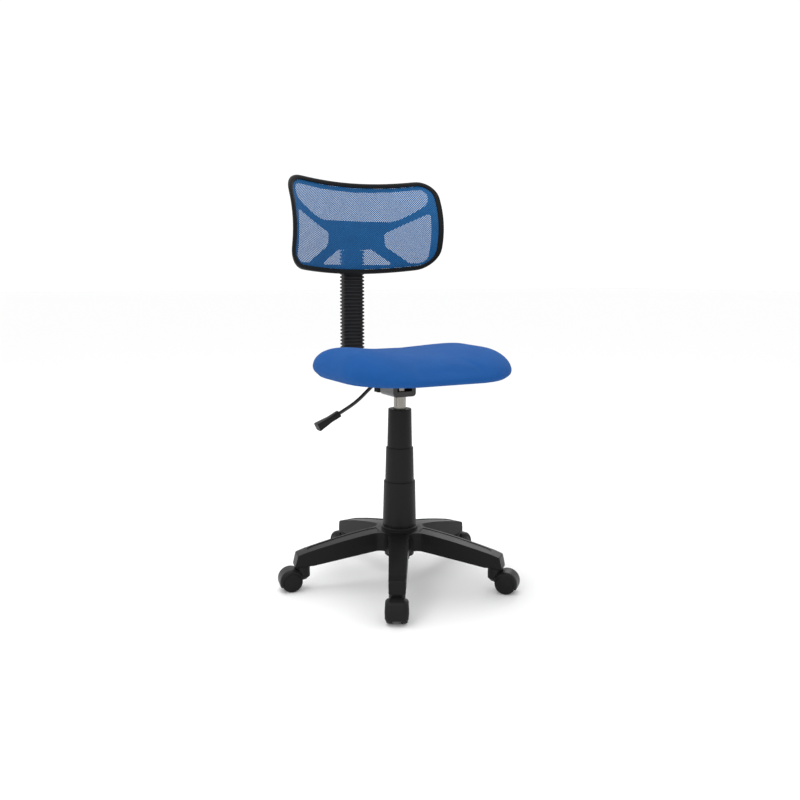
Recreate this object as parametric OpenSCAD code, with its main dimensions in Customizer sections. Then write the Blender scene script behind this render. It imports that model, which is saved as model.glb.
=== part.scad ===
// Swivel office chair with a mesh back, a gas lift and a five-legged base on casters.
// Millimetres, +Z up. The origin is on the floor under the column, and the chair faces -Y.

/* [Base] */
// Radius from the column to the end of a leg
base_reach = 249; // [220:1:330]
// Width of a leg at its end
leg_tip_w = 36; // [32:1:46]
// Width of a leg where it meets the hub
leg_root_w = 46; // [42:1:56]
// Gap between a caster's hood and the end of its leg
tip_gap = 5.6; // [5:0.2:20]
// Depth of the leg at its end
tip_depth = 27; // [26:1:40]
// Height of the leg's top at the hub
leg_root_z = 124; // [112:1:140]
// Direction of the first leg, from +X
first_leg_angle = -120; // [-180:1:0]
// Wall of the moulded base
base_wall = 4; // [3:0.5:6]

/* [Casters] */
// Number of legs and casters
legs = 5; // [5:1:5]
// Wheel diameter
wheel_d = 48; // [44:1:52]
// Width of one wheel
wheel_w = 15; // [12:1:18]
// Gap between the two wheels of a caster
wheel_gap = 18; // [17:1:24]
// Distance that the axle trails behind the stem
caster_trail = 26; // [22:1:30]
// Stem diameter
stem_d = 11; // [10:1:12]
// Axle diameter
axle_d = 6; // [5:1:8]

/* [Gas lift] */
// Outer tube diameter
tube_d = 50; // [46:1:52]
// Pressure cylinder diameter
lift_d = 28; // [24:1:30]
// Piston rod diameter
rod_d = 10; // [8:1:12]
// Travel of the lift, down from the height drawn
lift_travel = 120; // [60:5:120]
// Height of the tube's top
tube_top_z = 270; // [265:1:275]

/* [Telescoping cover] */
// Bottom and top diameters of the lower, middle and upper stages
stage_bottom_d = [77.5, 67.1, 57.7]; // [lower, middle, upper]
stage_top_d = [72.6, 62.6, 53.2]; // [lower, middle, upper]
// Heights of the tops of the three stages
stage_top_z = [237, 316, 405]; // [lower, middle, upper]
// Wall of each stage
stage_wall = 1.2; // [1:0.1:1.5]

/* [Mechanism] */
// Width of the folded steel housing
housing_w = 58; // [50:1:66]
// Reach of the housing in front of and behind the column
housing_front = 23; // [20:1:30]
housing_rear = 41; // [30:1:42]
// Height of the housing's underside
housing_bottom_z = 434; // [425:1:440]
// Thickness of the folded steel
steel_t = 2.5; // [2:0.5:3]
// Diameter of the height lever's rod
lever_d = 8; // [7:1:9]
// Length of the lever's grip
grip_len = 58; // [50:1:70]
// Swing of the lever in degrees
lever_swing = 6; // [4:1:6]

/* [Seat] */
// Width of the seat
seat_w = 404; // [380:1:500]
// Reach of the seat in front of the column
seat_front = 232; // [210:1:280]
// Reach of the seat behind the column
seat_rear = 145; // [120:1:170]
// Corner radius of the seat in plan
seat_corner = 140; // [80:1:150]
// Height of the seat board's underside
board_z = 486; // [480:1:500]
// Thickness of the plywood board
board_t = 10; // [8:1:15]
// Height of the foam above the board at its centre
foam_t = 40; // [30:1:60]
// Spacing of the seat bolts across and along
bolt_spacing = [110, 150]; // [across, along]

/* [Back] */
// Width of the back
back_w = 396; // [360:1:480]
// Height of the back at its centre
back_h = 217; // [190:1:260]
// Height of the back's lowest point
back_bottom_z = 707; // [700:1:760]
// Corner radius of the back
back_corner = 46; // [36:1:60]
// How far the top and bottom edges curve, from the middle to the corner
edge_bow = 13; // [0:1:20]
// Place of the back's edges behind the column
back_y = 222; // [215:1:224]
// How far the sides come forward at top and bottom, and extra at the waist
side_bow = 47; // [20:1:60]
waist_bow = 28; // [0:1:35]
// How far the mesh's middle comes forward
lumbar = 17; // [0:1:20]
// Width of the black bead that holds the mesh
bead_w = 11.5; // [7:0.5:14]
// Downward travel of the back
back_travel = 50; // [20:5:50]

/* [Back bar] */
// Width and thickness of the flat bar
bar_w = 38; // [30:1:42]
bar_t = 8; // [6:1:9]
// Place of the upright behind the column
upright_y = 247; // [245:1:260]
// Room between the bar and the tips of the bellows' ribs, at the sides and at front and back
bellows_side_room = 10; // [8:0.5:12]
bellows_back_room = 11; // [9:0.5:12]
// Spacing of the bellows' ribs
rib_pitch = 8.8; // [8:0.1:12]
// Depth adjustment of the bar, in and out
bar_in = 20; // [10:1:20]
bar_out = 15; // [10:1:15]

/* [Fits] */
// Radial clearance of a shaft that turns or slides
run_gap = 0.05; // [0.02:0.01:0.09]
// Gap between parts that pass each other
pass_gap = 0.4; // [0.3:0.05:0.8]
// Gap round a part that is held
seat_gap = 0.1; // [0.05:0.05:0.3]

/* [Hidden] */
function numbered(name) = [for (i = [1:5]) str(name, "_", i)];
$fn = 64;
far = 2 * base_reach;

// ---- Shared shapes ----

// Points on an arc round [cx, cy] from angle a0 to a1.
function arc(cx, cy, r, a0, a1, n = 6) =
    [for (i = [0:n]) let (a = a0 + (a1 - a0) * i / n) [cx + r * cos(a), cy + r * sin(a)]];

// Corner of a polygon at p, rounded between its neighbours a and b.
function corner(a, p, b, r, n = 5) =
    let (u = (a - p) / norm(a - p), v = (b - p) / norm(b - p),
         half = acos(u * v) / 2, reach = min(r / tan(half), 0.48 * min(norm(a - p), norm(b - p))),
         rr = reach * tan(half), c = p + (u + v) / norm(u + v) * rr / sin(half),
         s = p + u * reach - c, e = p + v * reach - c,
         a0 = atan2(s.y, s.x), raw = atan2(e.y, e.x) - a0,
         turn = raw > 180 ? raw - 360 : raw < -180 ? raw + 360 : raw)
    [for (i = [0:n]) c + rr * [cos(a0 + turn * i / n), sin(a0 + turn * i / n)]];
function rounded(pts, r) =
    let (n = len(pts))
    [for (i = [0:n - 1]) each corner(pts[(i + n - 1) % n], pts[i], pts[(i + 1) % n],
                                     is_list(r) ? r[i] : r)];

// A closed solid through rings of points, each ring with the same number of points. The ends
// close with a fan round their middles, or the last ring joins the first.
module loft(rings, closed = false) {
    n = len(rings[0]);
    m = len(rings);
    last = closed ? m - 1 : m - 2;
    middles = [middle(rings[0]), middle(rings[m - 1])];
    sides = [for (j = [0:last], i = [0:n - 1])
        let (a = j * n + i, b = j * n + (i + 1) % n,
             c = ((j + 1) % m) * n + (i + 1) % n, d = ((j + 1) % m) * n + i)
        each [[a, b, c], [a, c, d]]];
    fans = closed ? [] : [for (i = [0:n - 1])
        let (k = (i + 1) % n, top = (m - 1) * n)
        each [[k, i, n * m], [top + i, top + k, n * m + 1]]];
    polyhedron([for (ring = rings) each ring, if (!closed) middles[0], if (!closed) middles[1]],
               concat(sides, fans), convexity = 6);
}
function middle(ring) = [for (i = [0:len(ring) - 1]) 1] * ring / len(ring);

// A thin solid between two grids of points that face each other
module slab(front, back) {
    rows = len(front);
    cols = len(front[0]);
    n = rows * cols;
    function at(j, i) = j * cols + i;
    skins = [for (j = [0:rows - 2], i = [0:cols - 2])
        let (a = at(j, i), b = at(j, i + 1), c = at(j + 1, i + 1), d = at(j + 1, i))
        each [[a, c, b], [a, d, c], [n + a, n + b, n + c], [n + a, n + c, n + d]]];
    rim = concat([for (i = [0:cols - 2]) [at(0, i), at(0, i + 1)]],
                 [for (j = [0:rows - 2]) [at(j, cols - 1), at(j + 1, cols - 1)]],
                 [for (i = [cols - 1:-1:1]) [at(rows - 1, i), at(rows - 1, i - 1)]],
                 [for (j = [rows - 1:-1:1]) [at(j, 0), at(j - 1, 0)]]);
    walls = [for (e = rim) each [[e[0], e[1], n + e[0]], [e[1], n + e[1], n + e[0]]]];
    polyhedron([for (row = front) each row, for (row = back) each row],
               concat(skins, walls), convexity = 6);
}

// A rounded rectangle as points, with corners of radius r.
function round_rect(x0, y0, x1, y1, r, n = 8) = concat(
    arc(x1 - r, y1 - r, r, 0, 90, n), arc(x0 + r, y1 - r, r, 90, 180, n),
    arc(x0 + r, y0 + r, r, 180, 270, n), arc(x1 - r, y0 + r, r, 270, 360, n));

// Places on legs
function leg_angle(i) = first_leg_angle + 360 / legs * i;
module on_leg(i) rotate([0, 0, leg_angle(i)]) children();

// ---- Star base ----

wheel_r = wheel_d / 2;
wheel_room = 0.8;
hood_wall = 2.6;
hood_r = wheel_r + wheel_room + hood_wall;
tip_bottom_z = wheel_r + hood_r + tip_gap;
tip_top_z = tip_bottom_z + tip_depth;
tip_draft = 6;
root_r = 50;
collar_h = 8;
collar_top_z = leg_root_z + collar_h;
collar_d = stage_bottom_d[0] + 7;
hub_r = tube_d / 2 + 9;
hub_bottom_z = tip_bottom_z + 5;
underside_rise = 25;
stem_r = base_reach - 19;
pad_len = 41;
web_fillet = 26;
leg_taper = (leg_root_w - leg_tip_w) / 2 / (base_reach - root_r);
leg_half_at_axis = leg_root_w / 2 + leg_taper * root_r;
leg_bend = 1.3;
channel_depth = 1.2;
channel_rim = 6.5;
channel_end = 30;
taper_top_z = leg_root_z;
taper_drop = 1;

// Height of the leg's top at radius r.
tip_r = base_reach - tip_draft;
function leg_top(r) = leg_root_z
    - (leg_root_z - tip_top_z) * pow(max(0, r - root_r) / (tip_r - root_r), leg_bend);
function leg_under(r) = tip_bottom_z
    + underside_rise * max(0, base_reach - pad_len - r) / (base_reach - pad_len - root_r);
function leg_half(r, inset = 0) = leg_half_at_axis - leg_taper * r - inset;

// Plan of the whole star: tangent fillets join each leg to the next.
function star_plan() =
    let (step = 360 / legs, tau = atan(leg_taper), reach = base_reach + 1, tip_round = 7,
         d = (web_fillet * sqrt(1 + leg_taper * leg_taper) + leg_half_at_axis)
             / (sin(step / 2) + leg_taper * cos(step / 2)))
    [for (i = [0:legs - 1])
        let (pts = concat(
                 arc(d * cos(step / 2), -d * sin(step / 2), web_fillet,
                     270 - step - tau, 90 + tau, 8),
                 arc(reach - tip_round, tip_round - leg_half(reach), tip_round, -90, 0, 4),
                 arc(reach - tip_round, leg_half(reach) - tip_round, tip_round, 0, 90, 4)),
             a = leg_angle(i))
        each [for (p = pts) [p.x * cos(a) - p.y * sin(a), p.x * sin(a) + p.y * cos(a)]]];

function top_line(drop, n = 10) =
    [for (i = [0:n]) let (r = root_r + (tip_r - root_r) * i / n) [r, leg_top(r) - drop]];

module star_solid() intersection() {
    linear_extrude(height = 2 * leg_root_z) polygon(star_plan());
    rotate_extrude() polygon(concat(
        [[0, hub_bottom_z], [hub_r, hub_bottom_z], [hub_r, leg_under(root_r)],
         [root_r, leg_under(root_r)], [base_reach - pad_len, tip_bottom_z],
         [base_reach, tip_bottom_z]],
        arc(tip_r - 4.5, tip_top_z - 5, 5, 8, 60, 3),
        [for (i = [9:-1:0]) let (r = root_r + (tip_r - root_r) * i / 10) [r, leg_top(r)]],
        [[0, leg_root_z]]));
}

module collar() rotate_extrude() polygon(concat(
    [[0, leg_root_z - 6], [collar_d / 2 + 4, leg_root_z - 6], [collar_d / 2, leg_root_z + 1]],
    arc(collar_d / 2 - 3, collar_top_z - 3, 3, 0, 90, 5), [[0, collar_top_z]]));

// The sunk channel along the top of a leg, with a round end.
module channels() intersection() {
    for (i = [0:legs - 1]) on_leg(i) linear_extrude(height = 2 * leg_root_z)
        let (start = collar_d / 2 + 10, end = base_reach - channel_end,
             h0 = leg_half(start, channel_rim), h1 = leg_half(end, channel_rim))
        polygon(concat([[start, h0], [start, -h0]], arc(end - h1, 0, h1, -90, 90, 8)));
    rotate_extrude() polygon(concat(
        top_line(channel_depth), [[tip_r, 2 * leg_root_z], [root_r, 2 * leg_root_z]]));
}

// Pockets under the legs, which leave the side walls and cross ribs.
module pockets() intersection() {
    for (i = [0:legs - 1]) on_leg(i) linear_extrude(height = 2 * leg_root_z)
        let (start = hub_r + 14, end = base_reach - pad_len, bays = 4, rib = 3,
             bay = (end - start + rib) / bays)
        for (b = [0:bays - 1])
            let (r0 = start + b * bay, r1 = r0 + bay - rib,
                 h0 = leg_half(r0, base_wall), h1 = leg_half(r1, base_wall))
            polygon([[r0, -h0], [r1, -h1], [r1, h1], [r0, h0]]);
    rotate_extrude() polygon(concat(
        [[hub_r + 2, leg_root_z - channel_depth - base_wall]],
        top_line(channel_depth + base_wall), [[tip_r, 0], [hub_r + 2, 0]]));
}

module tube_taper(gap) rotate_extrude() polygon([
    [0, hub_bottom_z - 20], [tube_d / 2 - taper_drop + gap, hub_bottom_z - 20],
    [tube_d / 2 - taper_drop + gap, hub_bottom_z], [tube_d / 2 + gap, taper_top_z],
    [tube_d / 2 + gap, collar_top_z + 20], [0, collar_top_z + 20]]);

stem_top_z = tip_top_z - 5;
module star_base() color("#262628") difference() {
    union() {
        star_solid();
        collar();
    }
    channels();
    pockets();
    tube_taper(seat_gap);
    for (i = [0:legs - 1]) on_leg(i) translate([stem_r, 0, tip_bottom_z - 1])
        cylinder(d = stem_d + 2 * seat_gap, h = stem_top_z - tip_bottom_z + 1.5);
}

// ---- Casters ----

axle_r_pos = stem_r + caster_trail;
hood_top_z = tip_bottom_z - 1.6;
web_half = wheel_gap / 2 - pass_gap;
wheel_out = wheel_gap / 2 + wheel_w;
stem_foot_z = hood_top_z - 20;
neck_d = leg_tip_w - 1;
shoulder = 11;
hood_out = wheel_out + 1.4;

module caster_stems() color("#8d9094") for (i = [0:legs - 1]) on_leg(i)
    translate([stem_r, 0, 0]) {
        translate([0, 0, stem_foot_z]) cylinder(d = stem_d, h = stem_top_z - stem_foot_z);
        translate([0, 0, hood_top_z + seat_gap])
            cylinder(d = stem_d + 6, h = tip_bottom_z - hood_top_z - 2 * seat_gap);
    }

// Turns a profile of [radius, place along the axle] round caster i's axle.
module round_axle(i) on_leg(i) translate([axle_r_pos, 0, wheel_r]) rotate([90, 0, 0]) children();

// The room that the two wheels turn in
module hood_cut(i) round_axle(i) {
    for (side = [0, 1]) mirror([0, 0, side]) rotate_extrude() polygon(concat(
        [[0, web_half], [wheel_r + wheel_room, web_half]],
        arc(wheel_r - 7.2, wheel_out - 7, 8, 0, 60, 6),
        [[wheel_r - 3.2, wheel_out + 5], [0, wheel_out + 5]]));
}

module caster_hood(i) color("#202022") difference() {
    union() {
        // Shell over the treads, from beside the stem to below the axle on the outer side
        round_axle(i) rotate([0, 0, -24]) rotate_extrude(angle = 194)
            polygon(concat(
                [[wheel_r - 8, -hood_out]],
                arc(hood_r - shoulder, shoulder - hood_out, shoulder, -90, 0, 6),
                arc(hood_r - shoulder, hood_out - shoulder, shoulder, 0, 90, 6),
                [[wheel_r - 8, hood_out]]));
        // Web between the wheels, which carries the axle
        round_axle(i) translate([0, 0, -web_half]) linear_extrude(height = 2 * web_half)
            polygon(concat(arc(0, 0, hood_r - 1, -22, 172, 20), arc(0, 0, axle_d / 2 + 4, 190, 320, 6)));
        on_leg(i) translate([stem_r, 0, 0]) {
            translate([0, 0, hood_top_z - 24]) cylinder(d = neck_d, h = 24);
            translate([0, 0, hood_top_z - 31]) cylinder(d1 = neck_d - 14, d2 = neck_d, h = 7.01);
        }
    }
    hood_cut(i);
    round_axle(i) cylinder(d = axle_d + 2 * seat_gap, h = far, center = true);
    on_leg(i) translate([stem_r, 0, stem_foot_z - 1])
        cylinder(d = stem_d + 2 * run_gap, h = 40);
}

axle_half = wheel_gap / 2 + wheel_w - 4;
module caster_axle(i) color("#9a9da1") round_axle(i)
    cylinder(d = axle_d, h = 2 * axle_half, center = true);

// One wheel, on the side given by sign: solid rim and hub with a hollow inner face.
module caster_wheel(i, sign) color("#151516") round_axle(i) mirror([0, 0, sign > 0 ? 0 : 1])
    rotate_extrude() polygon(concat(
        [[axle_d / 2 + run_gap, wheel_gap / 2], [9, wheel_gap / 2], [9, wheel_gap / 2 + 9],
         [wheel_r - 5, wheel_gap / 2 + 9], [wheel_r - 4, wheel_gap / 2 + 0.6]],
        arc(wheel_r - 1, wheel_gap / 2 + 1.2, 1, -90, 0, 2),
        arc(wheel_r - 6, wheel_out - 7, 6, 0, 60, 6),
        [for (r = [wheel_r - 5:-3:4]) [r, wheel_out + 1.5 - 2.6 * pow(r / (wheel_r - 4), 2)]],
        [[0, wheel_out + 1.5], [0, axle_half + 0.4], [axle_d / 2 + run_gap, axle_half + 0.4]]));

// ---- Gas lift ----

tube_bottom_z = hub_bottom_z - 12;
tube_wall = 1.5;
tube_floor = 3;
race_t = 2;
ball_d = 4;
bearing_z = tube_bottom_z + tube_floor;
bearing_h = 2 * race_t + ball_d;
bush_len = 60;
bush_flange = 2;
cylinder_bottom_z = tube_bottom_z + 32 + lift_travel;
cylinder_top_z = housing_bottom_z + 28;
lift_taper = 0.5;
cylinder_wall = 2;
button_d = 8;
button_top_z = cylinder_top_z + 4;

module tube_inside() {
    translate([0, 0, bearing_z]) cylinder(d = tube_d - 2 * taper_drop - 2 * tube_wall, h = far);
    translate([0, 0, tube_bottom_z - 1]) cylinder(d = rod_d + 2 * pass_gap, h = far);
}

module gas_tube() color("#1c1c1d") difference() {
    rotate_extrude() polygon([
        [0, tube_bottom_z], [tube_d / 2 - taper_drop, tube_bottom_z],
        [tube_d / 2 - taper_drop, hub_bottom_z], [tube_d / 2, taper_top_z],
        [tube_d / 2, tube_top_z], [0, tube_top_z]]);
    tube_inside();
}

bush_r = tube_d / 2 - taper_drop - tube_wall - seat_gap;
module guide_bush() color("#e6e3da") difference() {
    union() {
        translate([0, 0, tube_top_z - bush_len]) cylinder(r = bush_r, h = bush_len);
        translate([0, 0, tube_top_z]) cylinder(d = tube_d - 0.5, h = bush_flange);
    }
    cylinder(d = lift_d + 2 * run_gap, h = far);
}

module thrust_bearing() color("#b9bcc0") {
    pitch_r = rod_d / 2 + 6;
    for (z = [0, race_t + ball_d])
        translate([0, 0, bearing_z + z]) difference() {
            cylinder(r = pitch_r + 5, h = race_t);
            translate([0, 0, -1]) cylinder(d = rod_d + 2 * run_gap, h = race_t + 2);
        }
    for (k = [0:9]) rotate([0, 0, 36 * k])
        translate([pitch_r, 0, bearing_z + race_t + ball_d / 2]) sphere(d = ball_d - 0.02);
}

rod_foot_z = tube_bottom_z - 4;
clip_z = tube_bottom_z - 2;
clip_t = 1.2;
head_z = cylinder_bottom_z + 22;
module gas_rod() color("#d7d9dc") difference() {
    union() {
        translate([0, 0, rod_foot_z]) cylinder(d = rod_d, h = head_z - rod_foot_z + 1);
        translate([0, 0, bearing_z + bearing_h + seat_gap]) cylinder(d = rod_d + 6, h = 4);
        translate([0, 0, head_z]) cylinder(d = lift_d - 2 * cylinder_wall - 2 * run_gap, h = 12);
    }
    translate([0, 0, clip_z - 0.1]) difference() {
        cylinder(d = rod_d + 4, h = clip_t + 0.2);
        translate([0, 0, -1]) cylinder(d = rod_d - 2.4, h = clip_t + 3);
    }
}

module rod_clip() color("#a5a8ac") translate([0, 0, clip_z]) difference() {
    cylinder(d = rod_d + 8, h = clip_t);
    translate([0, 0, -1]) cylinder(d = rod_d - 2.2, h = clip_t + 2);
    translate([0, -(rod_d - 3) / 2, -1]) cube([rod_d, rod_d - 3, clip_t + 2]);
}

module gas_cylinder() color("#d9dadb") difference() {
    rotate_extrude() polygon([
        [0, cylinder_bottom_z], [lift_d / 2 - 1, cylinder_bottom_z],
        [lift_d / 2, cylinder_bottom_z + 1], [lift_d / 2, housing_bottom_z - 2],
        [lift_d / 2 - lift_taper, cylinder_top_z], [0, cylinder_top_z]]);
    translate([0, 0, cylinder_bottom_z + 12])
        cylinder(d = lift_d - 2 * cylinder_wall, h = cylinder_top_z - cylinder_bottom_z - 30);
    translate([0, 0, cylinder_bottom_z - 1]) cylinder(d = rod_d + 2 * run_gap, h = 20);
    translate([0, 0, cylinder_top_z - 14]) cylinder(d = button_d + 2 * run_gap, h = 20);
}

module release_button() color("#c8a24a")
    translate([0, 0, cylinder_top_z - 8]) cylinder(d = button_d, h = button_top_z - cylinder_top_z + 8);

// ---- Telescoping cover ----

stage_overlap = 8;
stage_bottom_z = [collar_top_z, stage_top_z[0] - stage_overlap, stage_top_z[1] - stage_overlap];

// Stage k: a tapered sleeve whose top turns in to the next stage.
module cover_stage(k, lip_r) {
    z0 = stage_bottom_z[k];
    z1 = stage_top_z[k];
    r0 = stage_bottom_d[k] / 2;
    r1 = stage_top_d[k] / 2;
    rotate_extrude() polygon(concat(
        [[r0 - stage_wall, z0], [r0, z0]], arc(r1 - 1.5, z1 - 1.5, 1.5, 0, 90, 4),
        [[lip_r, z1], [lip_r, z1 - 2], [r1 - stage_wall, z1 - 2.5]]));
}
module cover_lower() color("#2b2b2c") cover_stage(0, stage_bottom_d[1] / 2 + pass_gap);
module cover_middle() color("#2b2b2c") cover_stage(1, stage_bottom_d[2] / 2 + pass_gap);
module cover_upper() color("#2b2b2c") cover_stage(2, lift_d / 2 + seat_gap);

// ---- Mechanism ----

plate_t = 3;
lining_t = 1;
plate_top_z = board_z - lining_t;
housing_top_z = plate_top_z - plate_t;
bend_r = 8;
window_w = 38;
lever_z = button_top_z + lever_d / 2 + 0.2;
pivot_x = -20;
pivot_pin_d = 4;

// Section of the folded channel, as [x, z] points
function channel_section(w, z0, z1, r) = concat(
    [[w / 2, z1], [-w / 2, z1]], arc(-w / 2 + r, z0 + r, r, 180, 270, 5),
    arc(w / 2 - r, z0 + r, r, 270, 360, 5));

// Extrudes [x, z] points from y0 to y1.
module along_y(y0, y1) translate([0, y1, 0]) rotate([90, 0, 0])
    linear_extrude(height = y1 - y0) children();

module mechanism_housing() color("#3c3d40") difference() {
    union() {
        difference() {
            along_y(-housing_front, housing_rear)
                polygon(channel_section(housing_w, housing_bottom_z, housing_top_z, bend_r));
            along_y(-housing_front + steel_t, housing_rear - steel_t)
                polygon(channel_section(housing_w - 2 * steel_t, housing_bottom_z + steel_t,
                                        housing_top_z + 1, bend_r - steel_t));
        }
        // Socket for the cylinder's taper
        translate([0, 0, housing_bottom_z]) cylinder(d = lift_d + 8, h = 11);
    }
    translate([0, 0, housing_bottom_z - 2]) cylinder(
        d1 = lift_d + 2 * seat_gap, d2 = lift_d - 2 * lift_taper + 2 * seat_gap,
        h = cylinder_top_z - housing_bottom_z + 2);
    // Front window
    translate([-window_w / 2, -housing_front - 1, housing_bottom_z + 12])
        cube([window_w, steel_t + 2, 26]);
    // Slot for the lever
    translate([-housing_w / 2 - 1, -lever_d / 2 - 1, lever_z - lever_d / 2 - 2])
        cube([steel_t + 2, lever_d + 2,
              lever_d + 4 + (housing_w / 2 + pivot_x) * sin(lever_swing)]);
    // Holes for the lever's pin
    translate([pivot_x, 0, lever_z]) rotate([90, 0, 0])
        cylinder(d = pivot_pin_d + 2 * seat_gap, h = far, center = true);
}

plate_w = bolt_spacing[0] + 34;
plate_len = bolt_spacing[1] + 34;
bolt_d = 6;
module at_bolts() for (x = [-1, 1], y = [-1, 1])
    translate([x * bolt_spacing[0] / 2, y * bolt_spacing[1] / 2, 0]) children();
module bolt_holes(d) at_bolts() translate([0, 0, housing_bottom_z]) cylinder(d = d, h = 2 * far);

module seat_plate() color("#2f3032") difference() {
    translate([0, 0, housing_top_z]) linear_extrude(height = plate_t) polygon(
        round_rect(-plate_w / 2, -plate_len / 2, plate_w / 2, plate_len / 2, 12, 4));
    bolt_holes(bolt_d + 1);
}

// Rear channel that holds the flat bar, open at the back
bracket_front = housing_rear;
bracket_rear = 104;
bracket_floor_z = 449;
bar_z = bracket_floor_z + steel_t + pass_gap;
bracket_w = bar_w + 2 * pass_gap + 2 * steel_t;
bar_end_y = housing_rear + 3 + bar_in;
depth_knob_y = bar_end_y + bar_out + 7;
screw_d = 8;
module bar_bracket() color("#1d1d1f") difference() {
    along_y(bracket_front, bracket_rear)
        polygon(channel_section(bracket_w, bracket_floor_z, housing_top_z, 2));
    along_y(bracket_front + steel_t, bracket_rear + 1)
        polygon(channel_section(bracket_w - 2 * steel_t, bracket_floor_z + steel_t,
                                bar_z + bar_t + pass_gap, 0.5));
    along_y(bracket_front + steel_t, bracket_rear + 1)
        polygon(channel_section(bracket_w - 2 * steel_t, bar_z + bar_t + pass_gap + steel_t,
                                housing_top_z + 1, 2));
    translate([0, depth_knob_y, bracket_floor_z - 1])
        cylinder(d = screw_d + 2 * run_gap, h = steel_t + 2);
}

// ---- Height lever ----

// Centre line of the lever's rod, as [x, z]
lever_path = [[pivot_x - 3, lever_z], [-52, lever_z - 1], [-66, lever_z - 6], [-80, lever_z - 17],
              [-110, 427], [-153, 404.5]];
grip_start = lever_path[5];
grip_slope = 26.6;
grip_dir = [-cos(grip_slope), -sin(grip_slope)];
rod_in_grip = 24;
bend_steps = 5;

// A smooth curve through the path: each inner point is rounded off.
function smooth_path(p) = [p[0], each [for (i = [1:len(p) - 2], k = [0:bend_steps])
    let (a = (p[i - 1] + p[i]) / 2, b = (p[i] + p[i + 1]) / 2, t = k / bend_steps)
    if (k < bend_steps || i == len(p) - 2)
    (1 - t) * (1 - t) * a + 2 * t * (1 - t) * p[i] + t * t * b]];
lever_line = concat(smooth_path(lever_path),
                    [grip_start, grip_start + rod_in_grip * grip_dir]);

// Ring of the rod at point i of a line that lies in the XZ plane
function rod_ring(line, i, r, n = 12) =
    let (a = line[max(0, i - 1)], b = line[min(len(line) - 1, i + 1)],
         t = (b - a) / norm(b - a), normal = [-t.y, t.x])
    [for (k = [0:n - 1]) let (c = r * cos(360 * k / n), s = r * sin(360 * k / n))
        [line[i].x + c * normal.x, s, line[i].y + c * normal.y]];

module lever_rod() color("#161617") difference() {
    union() {
        loft([for (i = [0:len(lever_line) - 1]) rod_ring(lever_line, i, lever_d / 2)]);
        translate([pivot_x - 5, -lever_d / 2, lever_z - lever_d / 2])
            cube([-pivot_x + 5 + button_d / 2, lever_d, lever_d]);
    }
    translate([pivot_x, 0, lever_z]) rotate([90, 0, 0])
        cylinder(d = pivot_pin_d + 2 * run_gap, h = far, center = true);
}

module lever_pin() color("#a5a8ac") translate([pivot_x, 0, lever_z]) rotate([90, 0, 0])
    cylinder(d = pivot_pin_d, h = housing_front * 2 - 2 * steel_t, center = true);

// Paddle grip: narrow at its neck, wide and flat at its end
module lever_grip() color("#1f1f21") translate([grip_start.x, 0, grip_start.y])
    rotate([0, -90 - grip_slope, 0]) difference() {
        union() {
            hull() {
                grip_slice(0, 7, 8);
                grip_slice(0.45, 6.5, 9);
            }
            hull() {
                grip_slice(0.45, 6.5, 9);
                grip_slice(1, 9, 11);
            }
        }
        translate([0, 0, -1]) cylinder(d = lever_d + 2 * seat_gap, h = rod_in_grip + 2);
    }
module grip_slice(t, half_x, half_y) translate([0, 0, t * (grip_len - 4)])
    linear_extrude(height = 4) polygon(round_rect(-half_x, -half_y, half_x, half_y, 4, 4));

// ---- Seat ----

seat_mid_y = (seat_rear - seat_front) / 2;
seat_half_x = seat_w / 2;
seat_half_y = (seat_front + seat_rear) / 2;
board_share = 0.87;
cushion_bottom_z = board_z - 3;
nut_flange = 1.5;
pocket_top_z = board_z + board_t + nut_flange + 0.5;
rim_top_z = board_z + board_t + foam_t;
bolster = 37;
rear_dip = 2;
front_drop = 14;

function seat_outline(f = 1) = [for (p = round_rect(-seat_half_x, -seat_half_y, seat_half_x,
                                                    seat_half_y, seat_corner, 10))
    [p.x * f, seat_mid_y + p.y * f]];

// Height of the foam's top: low along the middle, raised at the sides, dropping at the front
function foam_top(x, y) =
    let (u = x / seat_half_x, v = (y - seat_mid_y) / seat_half_y)
    rim_top_z + bolster * u * u * (1 - 0.55 * v * v) - rear_dip * max(0, v)
    - front_drop * pow(max(0, -v), 2);

// Rings of the cushion: [share of the outline, share of the height from bottom to top]
cushion_rings = [[0.05, 1], [0.3, 1], [0.5, 0.98], [0.65, 0.925], [0.78, 0.82], [0.87, 0.69],
                 [0.94, 0.52], [0.98, 0.35], [1, 0.19], [0.99, 0.07], [0.95, 0]];
function cushion_ring(f, h) = [for (p = seat_outline(f))
    [p.x, p.y, cushion_bottom_z + h * (foam_top(p.x, p.y) - cushion_bottom_z)]];
function flat_ring(f, z) = [for (p = seat_outline(f)) [p.x, p.y, z]];

// The cushion is hollow underneath, where the board sits.
pocket_share = board_share + 0.004;
module seat_cushion() color("#2e64b4") loft(concat(
    [flat_ring(0.05, pocket_top_z), flat_ring(pocket_share, pocket_top_z),
     flat_ring(pocket_share, cushion_bottom_z)],
    [for (i = [len(cushion_rings) - 1:-1:0]) cushion_ring(cushion_rings[i][0], cushion_rings[i][1])]));

module seat_board() color("#c9a66b") difference() {
    translate([0, 0, board_z]) linear_extrude(height = board_t) polygon(seat_outline(board_share));
    bolt_holes(bolt_d + 3);
}

module seat_lining() color("#1a1a1b") difference() {
    translate([0, 0, board_z - lining_t]) linear_extrude(height = lining_t)
        polygon(seat_outline(board_share));
    bolt_holes(bolt_d + 3);
}

module seat_bolts() color("#8d9094") at_bolts() {
    translate([0, 0, housing_top_z - 4]) cylinder(d = 2 * bolt_d, h = 4);
    translate([0, 0, housing_top_z - 1]) cylinder(d = bolt_d, h = plate_t + lining_t + board_t);
}

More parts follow.
